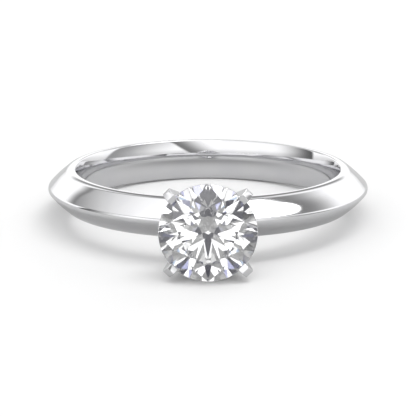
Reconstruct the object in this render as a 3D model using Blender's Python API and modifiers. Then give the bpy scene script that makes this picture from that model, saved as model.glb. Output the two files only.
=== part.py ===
"""Solitaire engagement ring: knife-edge comfort-fit shank, four-claw peg head, round brilliant stone.

Frame: the origin is the centre of the finger hole, +Z runs along the finger hole, and the stone faces -Y.
The head's own frame has its +Z along the stone's axis, so a height there is a distance from the finger axis.
"""

import math

import bmesh
import bpy
from mathutils import Vector

MM = 0.001  # one millimetre in Blender's metres

# Shank: a turned band with an outer ridge, slightly crowned faces and a bore that bulges inwards.
FINGER_DIAMETER = 17.35 * MM
SHANK_WIDTH = 2.72 * MM
SHANK_THICKNESS = 2.05 * MM  # from the bore to the ridge, at mid width
CHEEK_THICKNESS = 0.45 * MM  # the flat side of the band, measured radially
COMFORT_RISE = 0.25 * MM  # how much the bore opens from mid width to its edges
FACE_CROWN = 0.1 * MM  # how far the middle of a face stands out of the straight line from ridge to cheek
FACE_ROUNDING = 6.2 * MM
RIDGE_ROUNDING = 0.3 * MM
SHOULDER_ROUNDING = 0.7 * MM  # between a face and a cheek
EDGE_ROUNDING = 0.12 * MM  # between a cheek and the bore

# Stone: a round brilliant. Angles are from the girdle plane, and shares are of the girdle's radius.
STONE_DIAMETER = 6.5 * MM
GIRDLE_THICKNESS = 0.2 * MM
CROWN_ANGLE = math.radians(34.5)
PAVILION_ANGLE = math.radians(40.75)
TABLE_SHARE = 0.57
STAR_SHARE = 0.5
LOWER_HALF_SHARE = 0.77
MAIN_FACETS = 8  # on the crown, and again on the pavilion
CULET_ABOVE_RIDGE = -0.13 * MM  # the culet dips this far below the ridge line, over the base's cup

# Head: a base with a peg through the shank, four claws and two gallery rails.
BASE_DIAMETER = 2.4 * MM
BASE_HEIGHT = 0.55 * MM
BASE_SEAT_DEPTH = 0.87 * MM  # how deep the base's seat is cut below the ridge
CUP_DEPTH = 0.12 * MM
CUP_DIAMETER = 0.6 * MM
PEG_DIAMETER = 1.0 * MM
CLAW_COUNT = 4
CLAW_WIDTH = 0.62 * MM
CLAW_DEPTH = 0.6 * MM  # metal outside the girdle
CLAW_OVERLAP = 0.19 * MM  # metal over the crown, inside the girdle
CLAW_SPACING = 0.1 * MM  # from the head's axis, past half a claw's width, to the inner side of its foot
CLAW_FOOT_MARGIN = 0.05 * MM  # the base's rim outside the claws' feet
CLAW_KNEE_SHARE = 0.43  # where a claw turns upwards, as a share of the pavilion's depth above the culet
CLAW_KNEE_CLEARANCE = 1.06 * MM  # from the pavilion out to the knee's inner side
CLAW_KNEE_OFFSET = 0.4 * MM  # from the knee's inner side to its outer one, both outwards and down
CLAW_OUTER_BEND_DROP = 0.1 * MM  # below the girdle, where the claw's outer side turns upright
CLAW_INNER_BEND_DROP = 0.4 * MM  # and where its inner side does
CLAW_TIP_HEIGHT = 0.5 * MM  # the tip's ridge, above the girdle's upper edge
CLAW_TIP_CHAMFER = 0.36 * MM
CLAW_BEND = 0.8 * MM  # the knee's rounding
CLAW_ROUNDING = 0.05 * MM
UPPER_RAIL_WIRE = 0.5 * MM
UPPER_RAIL_CLEARANCE = 0.08 * MM  # from the rail to the stone's pavilion
LOWER_RAIL_WIRE = 0.45 * MM
LOWER_RAIL_SHARE = 0.68  # where the rail crosses a claw, as a share of the way from its foot to its knee
RAIL_NOTCH = 0.15 * MM  # how deep a rail is let into the claws' inner sides

SOLDER_GAP = 0.02 * MM  # between pieces that are soldered together
SETTING_GAP = 0.02 * MM  # between the stone and the metal that holds it

# Mesh fineness
SHANK_STEPS = 96
ROUND_STEPS = 48
WIRE_STEPS = 12
BORE_STEPS = 8
CORNER_STEPS = 4
GIRDLE_STEPS = 64
ROUNDING_STEPS = 2
MERGE = 0.001 * MM
FACET_MERGE = 0.0001 * MM
SHARP_ANGLE = math.radians(30)  # an edge that turns further than this is shaded sharp
FLAT_ANGLE = math.radians(1)  # neighbouring faces that turn less than this are merged into one
CUTTER_REACH = 2 * MM  # how far a cutter runs past what it cuts
BLANK_DEPTH = 13 * MM  # the length of the round rod that a stone is cut from

# Derived places: radii from the finger's axis, which are also heights in the head's frame.
BORE_RADIUS = FINGER_DIAMETER / 2
BORE_EDGE_RADIUS = BORE_RADIUS + COMFORT_RISE
CHEEK_RADIUS = BORE_EDGE_RADIUS + CHEEK_THICKNESS
RIDGE_RADIUS = BORE_RADIUS + SHANK_THICKNESS
STONE_RADIUS = STONE_DIAMETER / 2
PAVILION_DEPTH = STONE_RADIUS * math.tan(PAVILION_ANGLE)
CULET_HEIGHT = RIDGE_RADIUS + CULET_ABOVE_RIDGE
GIRDLE_LOW = CULET_HEIGHT + PAVILION_DEPTH
GIRDLE_MIDDLE = GIRDLE_LOW + GIRDLE_THICKNESS / 2
GIRDLE_HIGH = GIRDLE_LOW + GIRDLE_THICKNESS
SEAT_HEIGHT = RIDGE_RADIUS - BASE_SEAT_DEPTH
BASE_BOTTOM = SEAT_HEIGHT + SOLDER_GAP
BASE_TOP = BASE_BOTTOM + BASE_HEIGHT
CLAW_FOOT_HEIGHT = BASE_TOP + SOLDER_GAP
CLAW_KNEE_HEIGHT = CULET_HEIGHT + CLAW_KNEE_SHARE * PAVILION_DEPTH

MAIN_TURN = math.tau / MAIN_FACETS  # between neighbouring main facets
HALF_TURN = MAIN_TURN / 2


def clear_scene():
    for obj in list(bpy.data.objects):
        bpy.data.objects.remove(obj, do_unlink=True)


def new_collection(name):
    collection = bpy.data.collections.new(name)
    bpy.context.scene.collection.children.link(collection)
    return collection


def make_material(name, colour, metallic, roughness, transmission=0.0):
    material = bpy.data.materials.new(name)
    material.use_nodes = True
    shader = material.node_tree.nodes["Principled BSDF"]
    shader.inputs["Base Color"].default_value = (*colour, 1.0)
    shader.inputs["Metallic"].default_value = metallic
    shader.inputs["Roughness"].default_value = roughness
    shader.inputs["Transmission Weight"].default_value = transmission
    return material


def place(obj, collection, material=None, parent=None):
    """Puts an object in its collection and under its parent, and gives it its material."""
    for owner in list(obj.users_collection):
        owner.objects.unlink(obj)
    collection.objects.link(obj)
    obj.parent = parent
    if material:
        obj.data.materials.clear()
        obj.data.materials.append(material)
    return obj


def as_cutter(obj, collection, parent=None):
    obj.hide_render = True
    obj.display_type = "WIRE"
    return place(obj, collection, parent=parent)


def cut(obj, cutter):
    modifier = obj.modifiers.new("cut_" + cutter.name, "BOOLEAN")
    modifier.operation = "DIFFERENCE"
    modifier.object = cutter


def rounded_outline(corners):
    """A closed outline from (x, y, rounding) corners, with each rounded corner as an arc."""
    points = []
    for index, (x, y, rounding) in enumerate(corners):
        corner = Vector((x, y))
        if not rounding:
            points.append(corner)
            continue
        before = (Vector(corners[index - 1][:2]) - corner).normalized()
        after = (Vector(corners[(index + 1) % len(corners)][:2]) - corner).normalized()
        half = before.angle(after) / 2
        centre = corner + (before + after).normalized() * rounding / math.sin(half)
        start = corner + before * rounding / math.tan(half) - centre
        sweep = start.angle_signed(corner + after * rounding / math.tan(half) - centre)
        for step in range(CORNER_STEPS + 1):
            turn = -sweep * step / CORNER_STEPS
            cos, sin = math.cos(turn), math.sin(turn)
            points.append(centre + Vector((start.x * cos - start.y * sin, start.x * sin + start.y * cos)))
    return points


def frozen(guide):
    """The closed mesh that a guide's curve or modifiers make, welded, with its sharp edges marked."""
    bpy.context.scene.collection.objects.link(guide)
    bpy.context.view_layer.update()
    mesh = bpy.data.meshes.new_from_object(guide.evaluated_get(bpy.context.evaluated_depsgraph_get()))
    bpy.data.objects.remove(guide, do_unlink=True)
    form = bmesh.new()
    form.from_mesh(mesh)
    bmesh.ops.remove_doubles(form, verts=form.verts, dist=MERGE)
    bmesh.ops.recalc_face_normals(form, faces=form.faces)
    form.to_mesh(mesh)
    form.free()
    mesh.shade_smooth()
    mesh.set_sharp_from_angle(angle=SHARP_ANGLE)
    return mesh


def turned(name, profile, steps, closed):
    """A solid turned about its own Z from a profile of (radius, height) points, run down the outer side."""
    edges = [(i, i + 1) for i in range(len(profile) - 1)]
    if closed:
        edges.append((len(profile) - 1, 0))
    outline = bpy.data.meshes.new(name)
    outline.from_pydata([(radius, 0, height) for radius, height in profile], edges, [])
    guide = bpy.data.objects.new(name + "_guide", outline)
    screw = guide.modifiers.new("turn", "SCREW")
    screw.steps = screw.render_steps = steps
    screw.use_merge_vertices = True
    screw.merge_threshold = MERGE
    return bpy.data.objects.new(name, frozen(guide))


def torus(name, centre, wire_radius):
    bpy.ops.mesh.primitive_torus_add(
        major_radius=centre.x,
        minor_radius=wire_radius,
        major_segments=ROUND_STEPS,
        minor_segments=WIRE_STEPS,
        location=(0, 0, centre.y),
    )
    obj = bpy.context.active_object
    obj.name = name
    obj.data.shade_smooth()
    return obj


def cylinder(name, radius, bottom, top):
    bpy.ops.mesh.primitive_cylinder_add(
        vertices=ROUND_STEPS, radius=radius, depth=top - bottom, location=(0, 0, (bottom + top) / 2)
    )
    obj = bpy.context.active_object
    obj.name = name
    return obj


def bore_outline():
    """The comfort-fit bore's arc from its lower edge to its upper one, as (radius, height) points."""
    half_width = SHANK_WIDTH / 2
    arc_radius = (half_width**2 + COMFORT_RISE**2) / (2 * COMFORT_RISE)
    half_angle = math.asin(half_width / arc_radius)
    angles = [half_angle * (2 * step / BORE_STEPS - 1) for step in range(BORE_STEPS + 1)]
    return [(BORE_RADIUS + arc_radius * (1 - math.cos(a)), arc_radius * math.sin(a)) for a in angles]


def shank_profile():
    """The shank's cross-section: a rounded ridge, crowned faces, flat cheeks and the bore's arc."""
    half_width = SHANK_WIDTH / 2
    middle = (Vector((RIDGE_RADIUS, 0)) + Vector((CHEEK_RADIUS, half_width))) / 2
    crown = middle + Vector((half_width, RIDGE_RADIUS - CHEEK_RADIUS)).normalized() * FACE_CROWN
    to_rounding = Vector((RIDGE_RADIUS - RIDGE_ROUNDING - crown.x, crown.y))
    slope = math.atan2(to_rounding.y, to_rounding.x) - math.asin(RIDGE_ROUNDING / to_rounding.length)
    sharp_ridge = crown.x + crown.y / math.tan(slope)
    bore = bore_outline()
    return rounded_outline(
        [
            (sharp_ridge, 0, RIDGE_ROUNDING),
            (crown.x, -crown.y, FACE_ROUNDING),
            (CHEEK_RADIUS, -half_width, SHOULDER_ROUNDING),
            (*bore[0], EDGE_ROUNDING),
            *[(*point, 0) for point in bore[1:-1]],
            (*bore[-1], EDGE_ROUNDING),
            (CHEEK_RADIUS, half_width, SHOULDER_ROUNDING),
            (crown.x, crown.y, FACE_ROUNDING),
        ]
    )


def finger_plug():
    """The solid that fills the finger hole, used to trim the peg flush with the bore."""
    half_width = SHANK_WIDTH / 2
    bore = reversed(bore_outline())
    return turned("finger_plug", [(0, half_width), *bore, (0, -half_width)], SHANK_STEPS, closed=False)


def facet_planes():
    """Each facet as a point on it and its outward normal, with the girdle's middle at the origin."""
    girdle = GIRDLE_THICKNESS / 2
    table_radius = STONE_RADIUS * TABLE_SHARE
    table = girdle + (STONE_RADIUS - table_radius) * math.tan(CROWN_ANGLE)
    cos_half = math.cos(HALF_TURN)
    star_inner = table_radius * cos_half
    star_tip = star_inner + STAR_SHARE * (STONE_RADIUS - star_inner)
    star_tip_height = table - (star_tip * cos_half - table_radius) * math.tan(CROWN_ANGLE)
    star_angle = math.atan2(table - star_tip_height, star_tip - star_inner)
    culet = -girdle - PAVILION_DEPTH
    half_tip = STONE_RADIUS * (1 - LOWER_HALF_SHARE)
    half_tip_height = culet + half_tip * cos_half * math.tan(PAVILION_ANGLE)

    def at(azimuth, radius, height):
        return Vector((radius * math.cos(azimuth), radius * math.sin(azimuth), height))

    def sloped(azimuth, angle, point):
        up = 1 if angle > 0 else -1
        return point, at(azimuth, math.sin(abs(angle)), up * math.cos(angle))

    def through(first, second, third):
        normal = (second - first).cross(third - first).normalized()
        return first, normal if normal.dot(first) > 0 else -normal

    planes = [(Vector((0, 0, table)), Vector((0, 0, 1)))]
    for turn in range(MAIN_FACETS):
        main = turn * MAIN_TURN
        between = main + HALF_TURN
        planes.append(sloped(main, CROWN_ANGLE, at(main, STONE_RADIUS, girdle)))
        planes.append(sloped(between, star_angle, at(between, star_inner, table)))
        planes.append(sloped(main, -PAVILION_ANGLE, at(main, STONE_RADIUS, -girdle)))
        for side in (-1, 1):
            neighbour = main + side * HALF_TURN
            for tip, tip_height, edge in (
                (star_tip, star_tip_height, girdle),
                (half_tip, half_tip_height, -girdle),
            ):
                planes.append(
                    through(
                        at(main, STONE_RADIUS, edge),
                        at(neighbour, STONE_RADIUS, edge),
                        at(neighbour, tip, tip_height),
                    )
                )
    return planes


def brilliant(name, grown):
    """The stone, cut from a round rod with one flat for each facet, all moved out by grown."""
    form = bmesh.new()
    radius = (STONE_RADIUS + grown) / MM
    bmesh.ops.create_cone(
        form,
        cap_ends=True,
        segments=GIRDLE_STEPS,
        radius1=radius,
        radius2=radius,
        depth=BLANK_DEPTH / MM,
    )
    for point, normal in facet_planes():
        everything = [*form.verts, *form.edges, *form.faces]
        bmesh.ops.bisect_plane(
            form,
            geom=everything,
            dist=FACET_MERGE / MM,
            plane_co=(point + normal * grown) / MM,
            plane_no=normal,
            clear_outer=True,
        )
        rim = [edge for edge in form.edges if edge.is_boundary]
        if rim:
            bmesh.ops.contextual_create(form, geom=rim)
    bmesh.ops.recalc_face_normals(form, faces=form.faces)
    bmesh.ops.scale(form, vec=(MM, MM, MM), verts=form.verts)
    mesh = bpy.data.meshes.new(name)
    form.to_mesh(mesh)
    form.free()
    obj = bpy.data.objects.new(name, mesh)
    obj.location = (0, 0, GIRDLE_MIDDLE)
    return obj


def base_profile():
    peg_end = BORE_RADIUS - CUTTER_REACH
    return [
        (0, BASE_TOP - CUP_DEPTH),
        (CUP_DIAMETER / 2, BASE_TOP),
        (BASE_DIAMETER / 2, BASE_TOP),
        (BASE_DIAMETER / 2, BASE_BOTTOM),
        (PEG_DIAMETER / 2, BASE_BOTTOM),
        (PEG_DIAMETER / 2, peg_end),
        (0, peg_end),
    ]


def claw_inner_side():
    """The claw's inner side as (radius, height) points, from the foot to the shoulder."""
    knee = (CLAW_KNEE_HEIGHT - CULET_HEIGHT) / math.tan(PAVILION_ANGLE) + CLAW_KNEE_CLEARANCE
    return [
        (CLAW_WIDTH / 2 + CLAW_SPACING, CLAW_FOOT_HEIGHT),
        (knee, CLAW_KNEE_HEIGHT),
        (STONE_RADIUS - CLAW_OVERLAP, GIRDLE_LOW - CLAW_INNER_BEND_DROP),
    ]


def claw_outline():
    """The claw's side view as (radius, height, rounding) corners, up the outer side and down the inner."""
    foot, knee, shoulder = claw_inner_side()
    inner = shoulder[0]
    outer = STONE_RADIUS + CLAW_DEPTH
    tip = GIRDLE_HIGH + CLAW_TIP_HEIGHT
    return [
        (*foot, 0),
        (BASE_DIAMETER / 2 - CLAW_FOOT_MARGIN, CLAW_FOOT_HEIGHT, 0),
        (knee[0] + CLAW_KNEE_OFFSET, knee[1] - CLAW_KNEE_OFFSET, CLAW_BEND + CLAW_KNEE_OFFSET),
        (outer, GIRDLE_LOW - CLAW_OUTER_BEND_DROP, 0),
        (outer, tip - CLAW_TIP_CHAMFER, 0),
        ((inner + outer) / 2, tip, 0),
        (inner, tip - CLAW_TIP_CHAMFER / 2, 0),
        (*shoulder, 0),
        (*knee, CLAW_BEND),
    ]


def claw_mesh():
    curve = bpy.data.curves.new("claw_outline", "CURVE")
    curve.dimensions = "2D"
    curve.fill_mode = "BOTH"
    curve.extrude = CLAW_WIDTH / 2
    outline = rounded_outline(claw_outline())
    spline = curve.splines.new("POLY")
    spline.points.add(len(outline) - 1)
    for point, (x, y) in zip(spline.points, outline):
        point.co = (x, y, 0, 1)
    spline.use_cyclic_u = True
    mesh = frozen(bpy.data.objects.new("claw_guide", curve))
    form = bmesh.new()
    form.from_mesh(mesh)
    bmesh.ops.dissolve_limit(form, angle_limit=FLAT_ANGLE, verts=form.verts, edges=form.edges)
    form.to_mesh(mesh)
    form.free()
    return mesh


def beside_claw(start, end, share, wire):
    """The centre of a rail let into a claw's inner side, a share of the way along it from start to end."""
    start, end = Vector(start), Vector(end)
    along = (end - start).normalized()
    inward = Vector((-along.y, along.x))
    return start.lerp(end, share) + inward * (wire / 2 - RAIL_NOTCH)


def pavilion_distance(point):
    """How far a (radius, height) point is outside the stone's pavilion."""
    return point.x * math.sin(PAVILION_ANGLE) - (point.y - CULET_HEIGHT) * math.cos(PAVILION_ANGLE)


def lower_rail_centre():
    foot, knee, _ = claw_inner_side()
    return beside_claw(foot, knee, LOWER_RAIL_SHARE, LOWER_RAIL_WIRE)


def upper_rail_centre():
    """The highest place where the rail fits between the claws and the stone's pavilion."""
    _, knee, shoulder = claw_inner_side()
    at_knee = pavilion_distance(beside_claw(knee, shoulder, 0, UPPER_RAIL_WIRE))
    at_shoulder = pavilion_distance(beside_claw(knee, shoulder, 1, UPPER_RAIL_WIRE))
    wanted = UPPER_RAIL_WIRE / 2 + UPPER_RAIL_CLEARANCE
    share = (at_knee - wanted) / (at_knee - at_shoulder)
    return beside_claw(knee, shoulder, share, UPPER_RAIL_WIRE)


def build():
    clear_scene()
    parts = new_collection("engagement_ring")
    cutters = new_collection("cutters")
    white_gold = make_material("white_gold", colour=(0.9, 0.9, 0.91), metallic=1.0, roughness=0.05)
    diamond = make_material(
        "diamond", colour=(0.97, 0.98, 1.0), metallic=0.0, roughness=0.0, transmission=1.0
    )

    head_axis = bpy.data.objects.new("head_axis", None)
    parts.objects.link(head_axis)
    head_axis.rotation_euler = (math.radians(90), 0, 0)

    shank = place(turned("shank", shank_profile(), SHANK_STEPS, closed=True), parts, white_gold)
    for name, diameter, bottom in (
        ("seat_cutter", BASE_DIAMETER, SEAT_HEIGHT),
        ("peg_hole_cutter", PEG_DIAMETER, BORE_RADIUS - CUTTER_REACH),
    ):
        hole = cylinder(name, diameter / 2 + SOLDER_GAP, bottom, RIDGE_RADIUS + CUTTER_REACH)
        cut(shank, as_cutter(hole, cutters, head_axis))

    base = turned("head_base", base_profile(), ROUND_STEPS, closed=False)
    place(base, parts, white_gold, head_axis)
    cut(base, as_cutter(finger_plug(), cutters))

    place(brilliant("centre_stone", 0), parts, diamond, head_axis)
    claw_cutters = [as_cutter(brilliant("bearing_cutter", SETTING_GAP), cutters, head_axis)]
    rails = {
        "upper_rail": (upper_rail_centre(), UPPER_RAIL_WIRE / 2),
        "lower_rail": (lower_rail_centre(), LOWER_RAIL_WIRE / 2),
    }
    for name, (centre, wire_radius) in rails.items():
        place(torus(name, centre, wire_radius), parts, white_gold, head_axis)
        notch = torus(name + "_cutter", centre, wire_radius + SOLDER_GAP)
        claw_cutters.append(as_cutter(notch, cutters, head_axis))

    blank = claw_mesh()
    for number in range(CLAW_COUNT):
        claw = place(bpy.data.objects.new(f"claw_{number + 1}", blank), parts, white_gold, head_axis)
        claw.rotation_euler = (math.radians(90), 0, math.tau * (number + 0.5) / CLAW_COUNT)
        bevel = claw.modifiers.new("rounding", "BEVEL")
        bevel.width = CLAW_ROUNDING
        bevel.segments = ROUNDING_STEPS
        for cutter in claw_cutters:
            cut(claw, cutter)


build()
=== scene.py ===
"""The looks of the solitaire ring: polished white metal, a round brilliant, a white table and soft light.

Frame: the origin is the centre of the finger hole, +Z runs along the finger hole, and the stone faces -Y.
The head's own frame has its +Z along the stone's axis, so a height there is a distance from the finger's.
"""

import math

import bmesh
import bpy
from mathutils import Matrix, Vector


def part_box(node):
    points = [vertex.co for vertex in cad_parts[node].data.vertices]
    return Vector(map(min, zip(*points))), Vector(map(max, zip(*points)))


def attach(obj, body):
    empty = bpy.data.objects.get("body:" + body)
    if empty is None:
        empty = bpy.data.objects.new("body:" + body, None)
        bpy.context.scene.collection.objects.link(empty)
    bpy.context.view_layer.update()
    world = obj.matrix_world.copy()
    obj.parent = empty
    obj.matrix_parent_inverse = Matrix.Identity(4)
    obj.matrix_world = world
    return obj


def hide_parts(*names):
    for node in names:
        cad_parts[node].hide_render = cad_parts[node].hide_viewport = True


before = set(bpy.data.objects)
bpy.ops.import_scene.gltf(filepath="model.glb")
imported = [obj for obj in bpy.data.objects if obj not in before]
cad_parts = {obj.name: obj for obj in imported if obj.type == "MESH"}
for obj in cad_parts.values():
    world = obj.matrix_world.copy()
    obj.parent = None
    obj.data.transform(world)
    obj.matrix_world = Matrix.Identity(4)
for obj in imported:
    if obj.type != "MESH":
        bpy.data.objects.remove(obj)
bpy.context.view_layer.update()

MM = 0.001  # one millimetre in Blender's metres

# Measured from the frame
band_low, band_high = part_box("shank")
stone_low, stone_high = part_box("centre_stone")
base_low, base_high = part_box("head_base")

# Band
BAND_WIDTH = band_high.z - band_low.z
RIDGE_RADIUS = band_high.y
BORE_RADIUS = 8.675 * MM
COMFORT_RISE = 0.25 * MM
CHEEK_THICKNESS = 0.45 * MM
FACE_CROWN = 0.1 * MM
FACE_ROUNDING = 6.2 * MM
RIDGE_ROUNDING = 0.3 * MM
SHOULDER_ROUNDING = 0.7 * MM
EDGE_ROUNDING = 0.12 * MM
CHEEK_RADIUS = BORE_RADIUS + COMFORT_RISE + CHEEK_THICKNESS

# Stone: angles are from the girdle plane, and shares are of the girdle's radius
STONE_RADIUS = (stone_high.x - stone_low.x) / 2
CROWN_ANGLE = math.radians(34.5)
PAVILION_ANGLE = math.radians(40.75)
TABLE_SHARE = 0.57
STAR_SHARE = 0.5
LOWER_HALF_SHARE = 0.77
MAIN_FACETS = 8  # on the crown, and again on the pavilion
MAIN_TURN = math.tau / MAIN_FACETS
HALF_TURN = MAIN_TURN / 2
PAVILION_DEPTH = STONE_RADIUS * math.tan(PAVILION_ANGLE)
GIRDLE_THICKNESS = 0.2 * MM
CULET_HEIGHT = -stone_high.y
GIRDLE_LOW = CULET_HEIGHT + PAVILION_DEPTH
GIRDLE_HIGH = GIRDLE_LOW + GIRDLE_THICKNESS
GIRDLE_MIDDLE = (GIRDLE_LOW + GIRDLE_HIGH) / 2

# Head
BASE_RADIUS = (base_high.x - base_low.x) / 2
BASE_TOP = -base_low.y
BASE_HEIGHT = 0.55 * MM
BASE_BOTTOM = BASE_TOP - BASE_HEIGHT
CUP_DEPTH = 0.12 * MM
CUP_RADIUS = 0.3 * MM
PEG_RADIUS = 0.5 * MM
CLAW_COUNT = 4
CLAW_WIDTH = 0.62 * MM
CLAW_DEPTH = 0.6 * MM
CLAW_OVERLAP = 0.19 * MM
CLAW_SPACING = 0.1 * MM
CLAW_FOOT_MARGIN = 0.05 * MM
CLAW_KNEE_SHARE = 0.43
CLAW_KNEE_CLEARANCE = 1.06 * MM
CLAW_KNEE_OFFSET = 0.4 * MM
CLAW_OUTER_BEND_DROP = 0.1 * MM
CLAW_INNER_BEND_DROP = 0.4 * MM
CLAW_TIP_HEIGHT = 0.5 * MM
CLAW_TIP_CHAMFER = 0.36 * MM
CLAW_BEND = 0.8 * MM
CLAW_ROUNDING = 0.05 * MM
SOLDER_GAP = 0.02 * MM
SETTING_GAP = 0.02 * MM
CUTTER_REACH = 2 * MM  # how far a cutter runs past what it cuts
BLANK_DEPTH = 13 * MM  # the length of the round rod that a stone is cut from

# Surfaces
METAL_COLOUR = (0.80, 0.80, 0.81)
TARNISH_COLOUR = (0.77, 0.77, 0.79)
TARNISH_SHARES = (0.35, 0.75)  # the cloud's values that are clean and tarnished
METAL_ROUGHNESS = (0.04, 0.085)  # where the polish is finest and where it is most worn
POLISH_CLOUD = 1.6 * MM
CLOUD_DETAIL = 2
POLISH_LINE = 0.06 * MM
LINE_DETAIL = 3
POLISH_WEAR = (0.12, 0.40)  # cloud times lines, in the same two places
POLISH_LINE_SHARE = 0.25  # of the bump
POLISH_BUMP = 0.04
POLISH_BUMP_HEIGHT = 0.004 * MM
DIAMOND_IOR = 2.417
FACET_MARGIN = 0.01 * MM  # over which the girdle's frost fades out
FROST_GRAIN = 0.03 * MM
FROST_DETAIL = 2
FROST_ROUGHNESS = (0.25, 0.5)

# Mesh fineness
BAND_STEPS = 360
ROUND_STEPS = 96
WIRE_STEPS = 24
BORE_STEPS = 32
CORNER_STEPS = 10
GIRDLE_STEPS = 128
ROUNDING_STEPS = 4
TABLE_STEPS = 8
MERGE = 0.0001 * MM
FLAT_WEIGHT = 100  # how strongly a piece's large faces set its shading
SHARP_ANGLE = math.radians(35)
FLAT_ANGLE = math.radians(0.5)

# Camera, light bounces and table
CAMERA_DISTANCE = 415 * MM
CAMERA_ELEVATION = math.radians(12.61)
CAMERA_PITCH = math.radians(12.8)
CAMERA_LENS = 534.4  # on the usual 36 mm sensor
STONE_BOUNCES = 32
METAL_BOUNCES = 16
TABLE_SIZE = 1500 * MM

# Studio light, as seen from the ring. Overhead places are slopes, (across / up, along / up), so (0, 0) is
# straight up, and a lamp is a soft-edged ellipse there: its middle, turn, half length and half width.
LEAST_HEIGHT = 0.001  # keeps the slopes finite level with the ring and below it
WALL_BRIGHTNESS = 1.3
CEILING_BRIGHTNESS = 0.26
CEILING_REACH = (1.0, 3.6)  # from a lamp's edge to the white walls, in the lamp's own sizes
HORIZON_BRIGHTNESS = 0.66
HORIZON_HEIGHTS = (math.sin(math.radians(2)), math.sin(math.radians(12)))
MAIN_LAMP = ((0.34, -0.11), math.radians(33), 0.55, 0.20)
MAIN_LAMP_BRIGHTNESS = 4.6
MAIN_LAMP_EDGE = (0.86, 1.06)
SIDE_CEILING_REACH = (1.0, 1.8)
SIDE_LAMP = ((-0.66, 0.2), math.radians(-46), 1.15, 0.42)
SIDE_LAMP_BRIGHTNESS = (0.40, 1.7)  # at its far end and its near one
SIDE_LAMP_EDGE = (0.9, 1.1)
FLOOR_COLOUR = 0.93
FLOOR_ROUGHNESS = 0.6
FLOOR_PAINTED_SHADE = (0.30, 0.58)  # painted shade: the floor's colour in reflections, near the ring's centre (a painted shadow under the ring) and away from it
FLOOR_PAINTED_SHADOW_REACH = (2.5 * MM, 8 * MM)
FLOOR_PAINTED_SHADE_IN_STONE = 0.25  # and the painted shade as the stone sees it, darker still

# Dark edges on the walls, as the metal sees them. Bearings are in degrees from the camera's side, and each
# edge leans by a number of degrees for each unit of height.
WALL_EDGES = (
    # the bearing where it is sharp, the one where it has faded out, its lean and its brightness
    (104, 34, -60, 0.38),
    (12, -20, 45, 0.24),
    (-104, -58, 0, 0.14),
)
WALL_EDGE_TOP = (math.sin(math.radians(28)), math.sin(math.radians(40)))
WALL_EDGE_SOFTNESS = math.radians(4)
BACK_WALL = (math.radians(150), math.radians(168))  # darker from here round to straight behind the ring
BACK_WALL_HEIGHTS = (math.sin(math.radians(16)), math.sin(math.radians(24)))
BACK_WALL_BRIGHTNESS = 0.3

# The stone has its own walls and ceiling. Upright cards stand at even spacings round its walls, with one
# straight in front, and they are dark, violet or blue.
STONE_CARDS = (
    # spacing, width and the first card's bearing in degrees, and the colour
    (13, 6, 0, (0.02, 0.02, 0.04)),
    (65, 5, 32, (0.62, 0.64, 0.98)),
    (90, 5, 45, (0.60, 0.74, 0.95)),
)
STONE_CARD_TOP = (math.sin(math.radians(38)), math.sin(math.radians(42)))
STONE_CARD_SOFTNESS = math.radians(1)
STONE_WALL_BRIGHTNESS = 1.8
STONE_CEILING = (math.sin(math.radians(44)), math.sin(math.radians(51)))
STONE_CEILING_BRIGHTNESS = 0.06


def rounded_outline(corners):
    """A closed outline from (x, y, rounding) corners, with each rounded corner as an arc."""
    points = []
    for index, (x, y, rounding) in enumerate(corners):
        corner = Vector((x, y))
        if not rounding:
            points.append(corner)
            continue
        before = (Vector(corners[index - 1][:2]) - corner).normalized()
        after = (Vector(corners[(index + 1) % len(corners)][:2]) - corner).normalized()
        half = before.angle(after) / 2
        centre = corner + (before + after).normalized() * rounding / math.sin(half)
        start = corner + before * rounding / math.tan(half) - centre
        sweep = start.angle_signed(corner + after * rounding / math.tan(half) - centre)
        for step in range(CORNER_STEPS + 1):
            turn = -sweep * step / CORNER_STEPS
            cos, sin = math.cos(turn), math.sin(turn)
            points.append(centre + Vector((start.x * cos - start.y * sin, start.x * sin + start.y * cos)))
    return points


def frozen(guide):
    """The mesh that a guide's curve or modifiers make, welded."""
    if not guide.users_collection:
        bpy.context.scene.collection.objects.link(guide)
    bpy.context.view_layer.update()
    mesh = bpy.data.meshes.new_from_object(guide.evaluated_get(bpy.context.evaluated_depsgraph_get()))
    bpy.data.objects.remove(guide, do_unlink=True)
    form = bmesh.new()
    form.from_mesh(mesh)
    bmesh.ops.remove_doubles(form, verts=form.verts, dist=MERGE)
    bmesh.ops.recalc_face_normals(form, faces=form.faces)
    form.to_mesh(mesh)
    form.free()
    return mesh


def turned(name, profile, steps, closed):
    """A solid turned about its own Z from a profile of (radius, height) points, run down the outer side."""
    edges = [(i, i + 1) for i in range(len(profile) - 1)]
    if closed:
        edges.append((len(profile) - 1, 0))
    outline = bpy.data.meshes.new(name)
    outline.from_pydata([(radius, 0, height) for radius, height in profile], edges, [])
    guide = bpy.data.objects.new(name + "_guide", outline)
    screw = guide.modifiers.new("turn", "SCREW")
    screw.steps = screw.render_steps = steps
    screw.use_merge_vertices = True
    screw.merge_threshold = MERGE
    return bpy.data.objects.new(name, frozen(guide))


def torus(name, centre, wire_radius):
    """A round wire bent into a ring about its own Z. Its middle is at centre, a (ring radius, height)."""
    bpy.ops.mesh.primitive_torus_add(
        major_radius=centre.x,
        minor_radius=wire_radius,
        major_segments=2 * ROUND_STEPS,
        minor_segments=WIRE_STEPS,
        location=(0, 0, centre.y),
    )
    obj = bpy.context.active_object
    obj.name = name
    bpy.context.scene.collection.objects.unlink(obj)
    return obj


def cylinder(name, radius, bottom, top):
    bpy.ops.mesh.primitive_cylinder_add(
        vertices=ROUND_STEPS, radius=radius, depth=top - bottom, location=(0, 0, (bottom + top) / 2)
    )
    obj = bpy.context.active_object
    obj.name = name
    bpy.context.scene.collection.objects.unlink(obj)
    return obj


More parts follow.
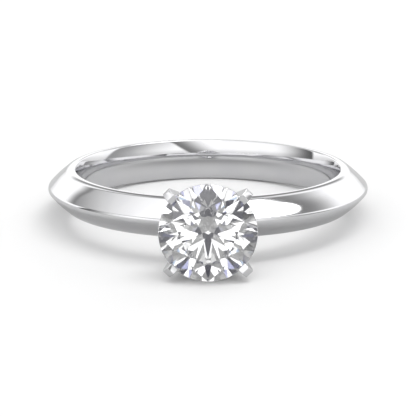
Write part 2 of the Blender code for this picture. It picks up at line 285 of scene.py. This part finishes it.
def cut(obj, cutters):
    """The object with each cutter taken out of it. Everything is in the same frame."""
    for cutter in cutters:
        bpy.context.scene.collection.objects.link(cutter)
        modifier = obj.modifiers.new("cut", "BOOLEAN")
        modifier.operation = "DIFFERENCE"
        modifier.object = cutter
    name = obj.name
    mesh = frozen(obj)
    for cutter in cutters:
        bpy.data.objects.remove(cutter, do_unlink=True)
    return bpy.data.objects.new(name, mesh)


HEAD = Matrix.Rotation(math.radians(90), 4, "X")  # takes the head's frame to the ring's


def in_head(obj):
    """Turns an object from the head's own frame to the ring's, in its mesh."""
    obj.data.transform(HEAD @ obj.matrix_basis)
    obj.matrix_basis = Matrix.Identity(4)
    return obj


def finish_piece(obj, material, node, smooth):
    """Gives a piece its material and puts it in the place of its CAD node."""
    if not obj.users_collection:
        bpy.context.scene.collection.objects.link(obj)
    obj.data.materials.clear()
    obj.data.materials.append(material)
    if smooth:
        obj.data.shade_smooth()
        obj.data.set_sharp_from_angle(angle=SHARP_ANGLE)
        weighted = obj.modifiers.new("even_flats", "WEIGHTED_NORMAL")
        weighted.keep_sharp = True
        weighted.weight = FLAT_WEIGHT
    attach(obj, "root")
    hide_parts(node)


def bore_outline():
    """The comfort-fit bore's arc from its lower edge to its upper one, as (radius, height) points."""
    half_width = BAND_WIDTH / 2
    arc_radius = (half_width**2 + COMFORT_RISE**2) / (2 * COMFORT_RISE)
    half_angle = math.asin(half_width / arc_radius)
    angles = [half_angle * (2 * step / BORE_STEPS - 1) for step in range(BORE_STEPS + 1)]
    return [(BORE_RADIUS + arc_radius * (1 - math.cos(a)), arc_radius * math.sin(a)) for a in angles]


def band_profile():
    """The band's cross-section: a rounded ridge, crowned faces, flat cheeks and the bore's arc."""
    half_width = BAND_WIDTH / 2
    middle = (Vector((RIDGE_RADIUS, 0)) + Vector((CHEEK_RADIUS, half_width))) / 2
    crown = middle + Vector((half_width, RIDGE_RADIUS - CHEEK_RADIUS)).normalized() * FACE_CROWN
    to_rounding = Vector((RIDGE_RADIUS - RIDGE_ROUNDING - crown.x, crown.y))
    slope = math.atan2(to_rounding.y, to_rounding.x) - math.asin(RIDGE_ROUNDING / to_rounding.length)
    sharp_ridge = crown.x + crown.y / math.tan(slope)
    bore = bore_outline()
    return rounded_outline(
        [
            (sharp_ridge, 0, RIDGE_ROUNDING),
            (crown.x, -crown.y, FACE_ROUNDING),
            (CHEEK_RADIUS, -half_width, SHOULDER_ROUNDING),
            (*bore[0], EDGE_ROUNDING),
            *[(*point, 0) for point in bore[2:-2]],  # the edges' roundings stand in for the end points
            (*bore[-1], EDGE_ROUNDING),
            (CHEEK_RADIUS, half_width, SHOULDER_ROUNDING),
            (crown.x, crown.y, FACE_ROUNDING),
        ]
    )


def make_band(material):
    """The band, with the base's seat and the peg's hole cut in it."""
    band = turned("band", band_profile(), BAND_STEPS, closed=True)
    seat_bottom = BASE_BOTTOM - SOLDER_GAP
    seat = in_head(cylinder("seat", BASE_RADIUS + SOLDER_GAP, seat_bottom, RIDGE_RADIUS + CUTTER_REACH))
    hole = in_head(cylinder("hole", PEG_RADIUS + SOLDER_GAP, BORE_RADIUS - CUTTER_REACH, BASE_TOP))
    finish_piece(cut(band, [seat, hole]), material, "shank", smooth=True)


def make_base(material):
    """The head's base: a cup under the culet, and a peg that ends flush with the comfort-fit bore."""
    peg_end = BORE_RADIUS - CUTTER_REACH
    profile = [
        (0, BASE_TOP - CUP_DEPTH),
        (CUP_RADIUS, BASE_TOP),
        (BASE_RADIUS, BASE_TOP),
        (BASE_RADIUS, BASE_BOTTOM),
        (PEG_RADIUS, BASE_BOTTOM),
        (PEG_RADIUS, peg_end),
        (0, peg_end),
    ]
    base = in_head(turned("base", profile, ROUND_STEPS, closed=False))
    bore = list(reversed(bore_outline()))
    plug = turned("plug", [(0, BAND_WIDTH / 2), *bore, (0, -BAND_WIDTH / 2)], BAND_STEPS, closed=False)
    finish_piece(cut(base, [plug]), material, "head_base", smooth=True)


def facet_planes():
    """Each facet as a point on it and its outward normal, with the girdle's middle at the origin."""
    girdle = GIRDLE_THICKNESS / 2
    table_radius = STONE_RADIUS * TABLE_SHARE
    table = girdle + (STONE_RADIUS - table_radius) * math.tan(CROWN_ANGLE)
    cos_half = math.cos(HALF_TURN)
    star_inner = table_radius * cos_half
    star_tip = star_inner + STAR_SHARE * (STONE_RADIUS - star_inner)
    star_tip_height = table - (star_tip * cos_half - table_radius) * math.tan(CROWN_ANGLE)
    star_angle = math.atan2(table - star_tip_height, star_tip - star_inner)
    culet = -girdle - PAVILION_DEPTH
    half_tip = STONE_RADIUS * (1 - LOWER_HALF_SHARE)
    half_tip_height = culet + half_tip * cos_half * math.tan(PAVILION_ANGLE)

    def at(azimuth, radius, height):
        return Vector((radius * math.cos(azimuth), radius * math.sin(azimuth), height))

    def sloped(azimuth, angle, point):
        up = 1 if angle > 0 else -1
        return point, at(azimuth, math.sin(abs(angle)), up * math.cos(angle))

    def through(first, second, third):
        normal = (second - first).cross(third - first).normalized()
        return first, normal if normal.dot(first) > 0 else -normal

    planes = [(Vector((0, 0, table)), Vector((0, 0, 1)))]
    for turn in range(MAIN_FACETS):
        main = turn * MAIN_TURN
        between = main + HALF_TURN
        planes.append(sloped(main, CROWN_ANGLE, at(main, STONE_RADIUS, girdle)))
        planes.append(sloped(between, star_angle, at(between, star_inner, table)))
        planes.append(sloped(main, -PAVILION_ANGLE, at(main, STONE_RADIUS, -girdle)))
        for side in (-1, 1):
            neighbour = main + side * HALF_TURN
            for tip, tip_height, edge in (
                (star_tip, star_tip_height, girdle),
                (half_tip, half_tip_height, -girdle),
            ):
                planes.append(
                    through(
                        at(main, STONE_RADIUS, edge),
                        at(neighbour, STONE_RADIUS, edge),
                        at(neighbour, tip, tip_height),
                    )
                )
    return planes


def brilliant(name, grown):
    """The stone, cut from a round rod with one flat for each facet, all moved out by grown."""
    form = bmesh.new()
    radius = (STONE_RADIUS + grown) / MM
    bmesh.ops.create_cone(
        form,
        cap_ends=True,
        segments=GIRDLE_STEPS,
        radius1=radius,
        radius2=radius,
        depth=BLANK_DEPTH / MM,
    )
    for point, normal in facet_planes():
        everything = [*form.verts, *form.edges, *form.faces]
        bmesh.ops.bisect_plane(
            form,
            geom=everything,
            dist=MERGE / MM,
            plane_co=(point + normal * grown) / MM,
            plane_no=normal,
            clear_outer=True,
        )
        rim = [edge for edge in form.edges if edge.is_boundary]
        if rim:
            bmesh.ops.contextual_create(form, geom=rim)
    bmesh.ops.recalc_face_normals(form, faces=form.faces)
    bmesh.ops.scale(form, vec=(MM, MM, MM), verts=form.verts)
    bmesh.ops.translate(form, vec=(0, 0, GIRDLE_MIDDLE), verts=form.verts)
    mesh = bpy.data.meshes.new(name)
    form.to_mesh(mesh)
    form.free()
    return in_head(bpy.data.objects.new(name, mesh))


def claw_inner_side():
    """The claw's inner side as (radius, height) points, from the foot to the shoulder."""
    knee_height = CULET_HEIGHT + CLAW_KNEE_SHARE * PAVILION_DEPTH
    knee = (knee_height - CULET_HEIGHT) / math.tan(PAVILION_ANGLE) + CLAW_KNEE_CLEARANCE
    return [
        (CLAW_WIDTH / 2 + CLAW_SPACING, BASE_TOP + SOLDER_GAP),
        (knee, knee_height),
        (STONE_RADIUS - CLAW_OVERLAP, GIRDLE_LOW - CLAW_INNER_BEND_DROP),
    ]


def claw_outline():
    """The claw's side view as (radius, height, rounding) corners, up the outer side and down the inner."""
    foot, knee, shoulder = claw_inner_side()
    inner = shoulder[0]
    outer = STONE_RADIUS + CLAW_DEPTH
    tip = GIRDLE_HIGH + CLAW_TIP_HEIGHT
    return [
        (*foot, 0),
        (BASE_RADIUS - CLAW_FOOT_MARGIN, foot[1], 0),
        (knee[0] + CLAW_KNEE_OFFSET, knee[1] - CLAW_KNEE_OFFSET, CLAW_BEND + CLAW_KNEE_OFFSET),
        (outer, GIRDLE_LOW - CLAW_OUTER_BEND_DROP, 0),
        (outer, tip - CLAW_TIP_CHAMFER, 0),
        ((inner + outer) / 2, tip, 0),
        (inner, tip - CLAW_TIP_CHAMFER / 2, 0),
        (*shoulder, 0),
        (*knee, CLAW_BEND),
    ]


def claw_blank(name):
    """One claw before the stone and the rails are let into it, in the head's frame over its +X."""
    curve = bpy.data.curves.new("claw_outline", "CURVE")
    curve.dimensions = "2D"
    curve.fill_mode = "BOTH"
    curve.extrude = CLAW_WIDTH / 2
    outline = rounded_outline(claw_outline())
    spline = curve.splines.new("POLY")
    spline.points.add(len(outline) - 1)
    for point, (x, y) in zip(spline.points, outline):
        point.co = (x, y, 0, 1)
    spline.use_cyclic_u = True
    mesh = frozen(bpy.data.objects.new("claw_guide", curve))
    form = bmesh.new()
    form.from_mesh(mesh)
    bmesh.ops.dissolve_limit(form, angle_limit=FLAT_ANGLE, verts=form.verts, edges=form.edges)
    form.to_mesh(mesh)
    form.free()
    claw = bpy.data.objects.new(name, mesh)
    bevel = claw.modifiers.new("rounding", "BEVEL")
    bevel.width = CLAW_ROUNDING
    bevel.segments = ROUNDING_STEPS
    claw.data.transform(Matrix.Rotation(math.radians(90), 4, "X"))
    return claw


def rail_centre(node, wire_radius):
    """A rail's (ring radius, height), read from its CAD node's box."""
    low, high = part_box(node)
    return Vector((high.x - wire_radius, -(low.y + high.y) / 2))


def make_head(metal, diamond):
    """The two rails, the stone and the claws, each claw cut to fit round the stone and the rails."""
    rails = {}
    for name in ("upper_rail", "lower_rail"):
        low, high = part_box(name)
        wire_radius = (high.y - low.y) / 2
        rails[name] = (rail_centre(name, wire_radius), wire_radius)
        rail = in_head(torus(name + "_wire", *rails[name]))
        finish_piece(rail, metal, name, smooth=True)
    finish_piece(brilliant("stone", 0), diamond, "centre_stone", smooth=False)
    for number in range(CLAW_COUNT):
        claw = claw_blank(f"square_claw_{number + 1}")
        claw.data.transform(HEAD @ Matrix.Rotation(math.tau * (number + 0.5) / CLAW_COUNT, 4, "Z"))
        cutters = [brilliant("bearing", SETTING_GAP)]
        for name, (centre, wire_radius) in rails.items():
            cutters.append(in_head(torus(name + "_notch", centre, wire_radius + SOLDER_GAP)))
        finish_piece(cut(claw, cutters), metal, f"claw_{number + 1}", smooth=True)


class Nodes:
    """Adds nodes to a tree, with short calls for the ones used most."""

    def __init__(self, tree):
        self.tree = tree

    def add(self, kind, links=(), **settings):
        node = self.tree.nodes.new(kind)
        for name, value in settings.items():
            setattr(node, name, value)
        for socket, source in dict(links).items():
            self.feed(node.inputs[socket], source)
        return node

    def feed(self, socket, source):
        """Links a socket to another one, or sets its value."""
        if isinstance(source, bpy.types.NodeSocket):
            self.tree.links.new(source, socket)
        else:
            socket.default_value = source

    def math(self, operation, first, second=0.0):
        return self.add("ShaderNodeMath", {0: first, 1: second}, operation=operation).outputs[0]

    def fade(self, value, start, end, low=0.0, high=1.0):
        """Goes smoothly from low, where the value is start, to high, where it is end."""
        links = {"Value": value, "From Min": start, "From Max": end, "To Min": low, "To Max": high}
        return self.add("ShaderNodeMapRange", links, interpolation_type="SMOOTHSTEP").outputs["Result"]

    def noise(self, place, grain, detail):
        """A noise whose lumps are about one grain across."""
        links = {"Vector": place, "Scale": 1 / grain, "Detail": detail}
        return self.add("ShaderNodeTexNoise", links).outputs["Fac"]

    def mix(self, share, first, second):
        return self.add("ShaderNodeMix", {"Factor": share, "A": first, "B": second}).outputs["Result"]

    def tint(self, share, first, second):
        """Mixes two colours. The node has several sockets of the same name, so these go by number."""
        return self.add("ShaderNodeMix", {0: share, 6: first, 7: second}, data_type="RGBA").outputs[2]


def principled(name, colour, metallic, roughness):
    """A new material and its shader."""
    material = bpy.data.materials.new(name)
    material.use_nodes = True
    shader = material.node_tree.nodes["Principled BSDF"]
    shader.inputs["Base Color"].default_value = (*colour, 1.0)
    shader.inputs["Metallic"].default_value = metallic
    shader.inputs["Roughness"].default_value = roughness
    return material, shader


def make_metal():
    """White gold with a faint cloud in its shine and fine polishing lines that run round the finger."""
    finest, _ = METAL_ROUGHNESS
    material, shader = principled("polished_white_gold", METAL_COLOUR, metallic=1, roughness=finest)
    nodes = Nodes(material.node_tree)
    place = nodes.add("ShaderNodeTexCoord").outputs["Object"]
    axes = nodes.add("ShaderNodeSeparateXYZ", {"Vector": place}).outputs
    from_axis = nodes.add("ShaderNodeCombineXYZ", {"X": axes["X"], "Y": axes["Y"]}).outputs["Vector"]
    radius = nodes.add("ShaderNodeVectorMath", {0: from_axis}, operation="LENGTH").outputs["Value"]
    round_finger = nodes.add("ShaderNodeCombineXYZ", {"X": radius, "Y": axes["Z"]}).outputs["Vector"]
    cloud = nodes.noise(place, POLISH_CLOUD, CLOUD_DETAIL)
    lines = nodes.noise(round_finger, POLISH_LINE, LINE_DETAIL)
    wear = nodes.math("MULTIPLY", cloud, lines)
    nodes.feed(shader.inputs["Roughness"], nodes.fade(wear, *POLISH_WEAR, *METAL_ROUGHNESS))
    tarnish = nodes.fade(cloud, *TARNISH_SHARES)
    nodes.feed(shader.inputs["Base Color"], nodes.tint(tarnish, (*METAL_COLOUR, 1), (*TARNISH_COLOUR, 1)))
    lumps = nodes.mix(POLISH_LINE_SHARE, cloud, lines)
    links = {"Strength": POLISH_BUMP, "Distance": POLISH_BUMP_HEIGHT, "Height": lumps}
    nodes.feed(shader.inputs["Normal"], nodes.add("ShaderNodeBump", links).outputs["Normal"])
    return material


def make_diamond():
    """Clear diamond with a bruted girdle: the narrow band between the crown and the pavilion is frosted."""
    material, shader = principled("clear_diamond", (1, 1, 1), metallic=0, roughness=0)
    shader.inputs["IOR"].default_value = DIAMOND_IOR
    shader.inputs["Transmission Weight"].default_value = 1.0
    nodes = Nodes(material.node_tree)
    place = nodes.add("ShaderNodeTexCoord").outputs["Object"]
    axes = nodes.add("ShaderNodeSeparateXYZ", {"Vector": place}).outputs
    off_girdle = nodes.math("ABSOLUTE", nodes.math("ADD", axes["Y"], GIRDLE_MIDDLE))
    girdle = nodes.fade(off_girdle, GIRDLE_THICKNESS / 2, GIRDLE_THICKNESS / 2 + FACET_MARGIN, 1, 0)
    off_axis = nodes.add("ShaderNodeCombineXYZ", {"X": axes["X"], "Y": axes["Z"]}).outputs["Vector"]
    radius = nodes.add("ShaderNodeVectorMath", {0: off_axis}, operation="LENGTH").outputs["Value"]
    at_rim = nodes.fade(radius, STONE_RADIUS - 2 * FACET_MARGIN, STONE_RADIUS - FACET_MARGIN)
    frost = nodes.fade(nodes.noise(place, FROST_GRAIN, FROST_DETAIL), 0, 1, *FROST_ROUGHNESS)
    nodes.feed(
        shader.inputs["Roughness"],
        nodes.math("MULTIPLY", frost, nodes.math("MULTIPLY", girdle, at_rim)),
    )
    return material


def make_table():
    """The table top, which passes under the stone's lowest point and the back of the band's lower edge."""
    front = Vector((0, -GIRDLE_MIDDLE, stone_low.z))
    back = Vector((0, CHEEK_RADIUS - EDGE_ROUNDING, band_low.z))
    tilt = math.atan2(back.z - front.z, back.y - front.y)
    bpy.ops.mesh.primitive_grid_add(
        x_subdivisions=TABLE_STEPS, y_subdivisions=TABLE_STEPS, size=TABLE_SIZE
    )
    table = bpy.context.active_object
    table.name = "table_top"
    table.rotation_euler = (tilt, 0, 0)
    table.location = (front + back) / 2
    material, shader = principled("white_table", (FLOOR_COLOUR,) * 3, metallic=0, roughness=FLOOR_ROUGHNESS)
    nodes = Nodes(material.node_tree)
    ray = nodes.add("ShaderNodeLightPath").outputs
    place = nodes.add("ShaderNodeNewGeometry").outputs["Position"]
    from_centre = nodes.add("ShaderNodeVectorMath", {0: place}, operation="LENGTH").outputs["Value"]
    # Painted shade: the floor stays white to the camera, but reflections see it darker, with a painted
    # shadow that darkens it towards the ring's centre, and the stone sees it darker still.
    shade = nodes.fade(from_centre, *FLOOR_PAINTED_SHADOW_REACH, *FLOOR_PAINTED_SHADE)
    shade = nodes.mix(ray["Is Transmission Ray"], shade, FLOOR_PAINTED_SHADE_IN_STONE)
    shade = nodes.mix(ray["Is Camera Ray"], shade, FLOOR_COLOUR)
    nodes.feed(shader.inputs["Base Color"], shade)
    table.data.materials.append(material)


def lamp(nodes, slopes, place, edge):
    """How much of a lamp shows in a direction, and how far off it and along it the direction is."""
    (x, y), turn, half_length, half_width = place
    links = {
        "Vector": slopes,
        "Location": (x, y, 0),
        "Rotation": (0, 0, turn),
        "Scale": (half_length, half_width, 1),
    }
    inside = nodes.add("ShaderNodeMapping", links, vector_type="TEXTURE").outputs["Vector"]
    distance = nodes.add("ShaderNodeVectorMath", {0: inside}, operation="LENGTH").outputs["Value"]
    along_lamp = nodes.add("ShaderNodeSeparateXYZ", {"Vector": inside}).outputs["X"]
    return nodes.fade(distance, *edge, 1, 0), distance, along_lamp


def with_dark_edges(nodes, walls, bearing, height):
    """The metal's walls with their dark edges and the darker wall behind the ring."""
    below_top = nodes.fade(height, *WALL_EDGE_TOP, 1, 0)
    for sharp, faded, lean, brightness in WALL_EDGES:
        lean_back = nodes.math("MULTIPLY", height, math.radians(lean))
        leaning = nodes.math("SUBTRACT", bearing, lean_back)
        start, end = math.radians(sharp), math.radians(faded)
        outside = start + math.copysign(WALL_EDGE_SOFTNESS, start - end)
        inner_side = nodes.fade(leaning, start, end, 1, 0)
        edge = nodes.math("MULTIPLY", nodes.fade(leaning, outside, start), inner_side)
        walls = nodes.mix(nodes.math("MULTIPLY", edge, below_top), walls, brightness)
    behind = nodes.fade(nodes.math("ABSOLUTE", bearing), *BACK_WALL)
    high_behind = nodes.math("MULTIPLY", behind, nodes.fade(height, *BACK_WALL_HEIGHTS))
    return nodes.mix(high_behind, walls, BACK_WALL_BRIGHTNESS)


def around_stone(nodes, bearing, height):
    """The walls, cards and dark ceiling that only the stone sees."""
    walls = nodes.fade(height, *STONE_CEILING, STONE_WALL_BRIGHTNESS, STONE_CEILING_BRIGHTNESS)
    below_top = nodes.fade(height, *STONE_CARD_TOP, 1, 0)
    for spacing, width, first, colour in STONE_CARDS:
        from_first = nodes.math("SUBTRACT", bearing, math.radians(first))
        off_card = nodes.math("PINGPONG", from_first, math.radians(spacing / 2))
        edge = math.radians(width / 2)
        card = nodes.fade(off_card, edge, edge + STONE_CARD_SOFTNESS, 1, 0)
        walls = nodes.tint(nodes.math("MULTIPLY", card, below_top), walls, (*colour, 1))
    return walls


def make_world():
    """White walls that fade up to a dark ceiling, with a small bright lamp and a long soft one overhead."""
    world = bpy.data.worlds.new("studio")
    bpy.context.scene.world = world
    world.use_nodes = True
    nodes = Nodes(world.node_tree)
    direction = nodes.add("ShaderNodeTexCoord").outputs["Generated"]
    axes = nodes.add("ShaderNodeSeparateXYZ", {"Vector": direction}).outputs
    bearing = nodes.math("ARCTAN2", axes["X"], nodes.math("MULTIPLY", axes["Y"], -1))
    height = nodes.math("MAXIMUM", axes["Z"], LEAST_HEIGHT)
    across = nodes.math("DIVIDE", axes["X"], height)
    along = nodes.math("DIVIDE", axes["Y"], height)
    slopes = nodes.add("ShaderNodeCombineXYZ", {"X": across, "Y": along}).outputs["Vector"]
    main, main_distance, _ = lamp(nodes, slopes, MAIN_LAMP, MAIN_LAMP_EDGE)
    side, side_distance, along_side = lamp(nodes, slopes, SIDE_LAMP, SIDE_LAMP_EDGE)
    walls = nodes.math(
        "MINIMUM",
        nodes.fade(main_distance, *CEILING_REACH, CEILING_BRIGHTNESS, WALL_BRIGHTNESS),
        nodes.fade(side_distance, *SIDE_CEILING_REACH, CEILING_BRIGHTNESS, WALL_BRIGHTNESS),
    )
    walls = nodes.math("MULTIPLY", walls, nodes.fade(height, *HORIZON_HEIGHTS, HORIZON_BRIGHTNESS, 1))
    walls = with_dark_edges(nodes, walls, bearing, height)
    seen_by_stone = nodes.add("ShaderNodeLightPath").outputs["Is Transmission Ray"]
    light = nodes.tint(seen_by_stone, walls, around_stone(nodes, bearing, height))
    light = nodes.tint(side, light, nodes.fade(along_side, -1, 1, *SIDE_LAMP_BRIGHTNESS))
    light = nodes.tint(main, light, (*[MAIN_LAMP_BRIGHTNESS] * 3, 1))
    nodes.feed(world.node_tree.nodes["Background"].inputs["Color"], light)


def make_camera():
    """A long lens in front of the ring and a little above it."""
    data = bpy.data.cameras.new("camera")
    data.lens = CAMERA_LENS
    camera = bpy.data.objects.new("camera", data)
    bpy.context.scene.collection.objects.link(camera)
    camera.location = (
        0,
        -CAMERA_DISTANCE * math.cos(CAMERA_ELEVATION),
        CAMERA_DISTANCE * math.sin(CAMERA_ELEVATION),
    )
    camera.rotation_euler = (math.radians(90) - CAMERA_PITCH, 0, 0)
    bpy.context.scene.camera = camera


metal = make_metal()
diamond = make_diamond()
make_band(metal)
make_base(metal)
make_head(metal, diamond)
make_table()
make_world()
make_camera()
bpy.context.scene.view_settings.view_transform = "Standard"
bpy.context.scene.cycles.max_bounces = STONE_BOUNCES
bpy.context.scene.cycles.transmission_bounces = STONE_BOUNCES
bpy.context.scene.cycles.glossy_bounces = METAL_BOUNCES
